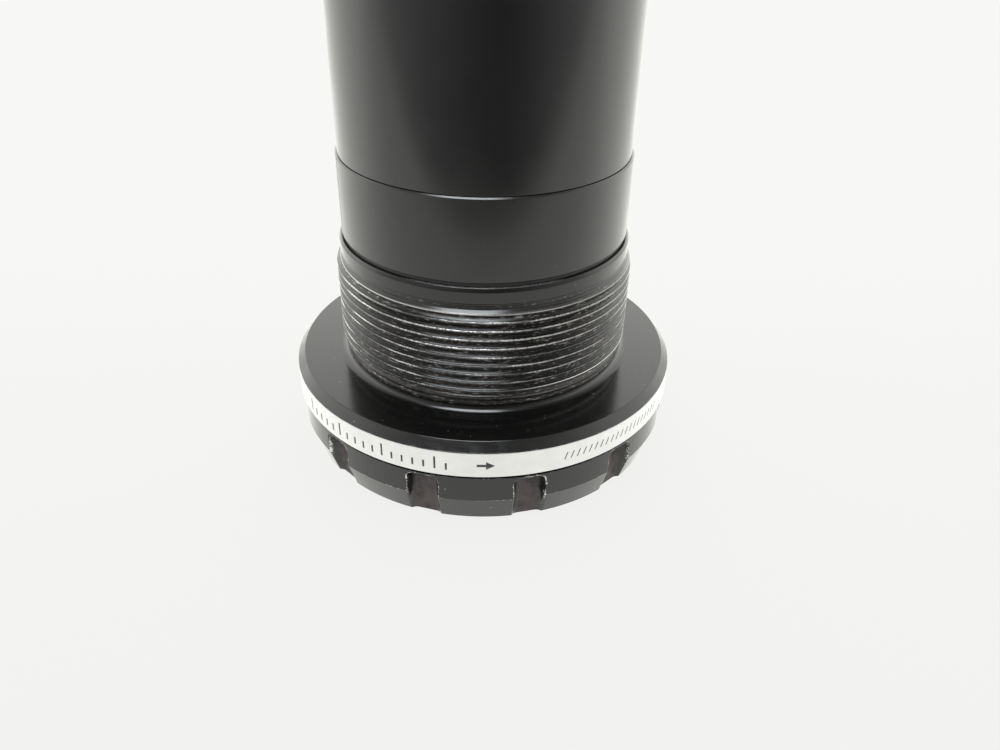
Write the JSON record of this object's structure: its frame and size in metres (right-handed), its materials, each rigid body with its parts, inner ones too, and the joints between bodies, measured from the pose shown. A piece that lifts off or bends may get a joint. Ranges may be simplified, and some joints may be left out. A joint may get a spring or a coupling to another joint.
{
  "type": "bottom bracket",
  "caption": "Threaded external-cup bicycle bottom bracket: notched flanged cups with sealed ball bearings, joined by a collared centre sleeve for a 30 mm spindle.",
  "frame": {"origin": "centre of the drive cup's outer face, on the spindle axis, which is the bottom of the part as it stands", "axes": "+Z along the spindle axis from the drive side to the non-drive side; +X and +Y across the spindle, with -Y towards the viewer"},
  "size_m": [0.0464, 0.0464, 0.095],
  "materials": {
    "anodised_cup": "black anodised, satin",
    "label": "white printed foil",
    "bearing_steel": "ground",
    "ball_steel": "polished",
    "cage_nylon": "moulded",
    "seal_rubber": "matte",
    "cover_plastic": "moulded, satin",
    "collar_plastic": "moulded, satin",
    "tube_black": "smooth satin black"
  },
  "bodies": {
    "root": {"centre_tube": "tube_black", "drive_cup": "anodised_cup", "drive_label_band": "label", "drive_bearing_outer_ring": "bearing_steel", "drive_seal_outboard": "seal_rubber", "drive_seal_inboard": "seal_rubber", "drive_sleeve_collar": "collar_plastic", "drive_sleeve_o_ring": "seal_rubber", "non_drive_cup": "anodised_cup", "non_drive_label_band": "label", "non_drive_bearing_outer_ring": "bearing_steel", "non_drive_seal_outboard": "seal_rubber", "non_drive_seal_inboard": "seal_rubber", "non_drive_sleeve_collar": "collar_plastic", "non_drive_sleeve_o_ring": "seal_rubber"},
    "drive_rotor": {"drive_bearing_inner_ring": "bearing_steel", "drive_dust_cover": "cover_plastic"},
    "drive_ball_set": {"drive_bearing_cage": "cage_nylon", "drive_ball_01": "ball_steel", "drive_ball_02": "ball_steel", "drive_ball_03": "ball_steel", "drive_ball_04": "ball_steel", "drive_ball_05": "ball_steel", "drive_ball_06": "ball_steel", "drive_ball_07": "ball_steel", "drive_ball_08": "ball_steel", "drive_ball_09": "ball_steel", "drive_ball_10": "ball_steel", "drive_ball_11": "ball_steel", "drive_ball_12": "ball_steel", "drive_ball_13": "ball_steel", "drive_ball_14": "ball_steel", "drive_ball_15": "ball_steel", "drive_ball_16": "ball_steel", "drive_ball_17": "ball_steel", "drive_ball_18": "ball_steel"},
    "non_drive_rotor": {"non_drive_bearing_inner_ring": "bearing_steel", "non_drive_dust_cover": "cover_plastic"},
    "non_drive_ball_set": {"non_drive_bearing_cage": "cage_nylon", "non_drive_ball_01": "ball_steel", "non_drive_ball_02": "ball_steel", "non_drive_ball_03": "ball_steel", "non_drive_ball_04": "ball_steel", "non_drive_ball_05": "ball_steel", "non_drive_ball_06": "ball_steel", "non_drive_ball_07": "ball_steel", "non_drive_ball_08": "ball_steel", "non_drive_ball_09": "ball_steel", "non_drive_ball_10": "ball_steel", "non_drive_ball_11": "ball_steel", "non_drive_ball_12": "ball_steel", "non_drive_ball_13": "ball_steel", "non_drive_ball_14": "ball_steel", "non_drive_ball_15": "ball_steel", "non_drive_ball_16": "ball_steel", "non_drive_ball_17": "ball_steel", "non_drive_ball_18": "ball_steel"}
  },
  "joints": [
    {"name": "drive_bearing_spin", "type": "hinge", "parent": "root", "child": "drive_rotor", "pos_m": [0, 0, 0.0053], "axis": [0, 0, 1], "continuous": true},
    {"name": "drive_ball_orbit", "type": "hinge", "parent": "root", "child": "drive_ball_set", "pos_m": [0, 0, 0.0053], "axis": [0, 0, 1], "continuous": true},
    {"name": "non_drive_bearing_spin", "type": "hinge", "parent": "root", "child": "non_drive_rotor", "pos_m": [0, 0, 0.0897], "axis": [0, 0, 1], "continuous": true},
    {"name": "non_drive_ball_orbit", "type": "hinge", "parent": "root", "child": "non_drive_ball_set", "pos_m": [0, 0, 0.0897], "axis": [0, 0, 1], "continuous": true}
  ],
  "couplings": [
    {"joint": "drive_ball_orbit", "follows": "drive_bearing_spin", "ratio": 0.45039},
    {"joint": "non_drive_ball_orbit", "follows": "non_drive_bearing_spin", "ratio": 0.45039}
  ]
}
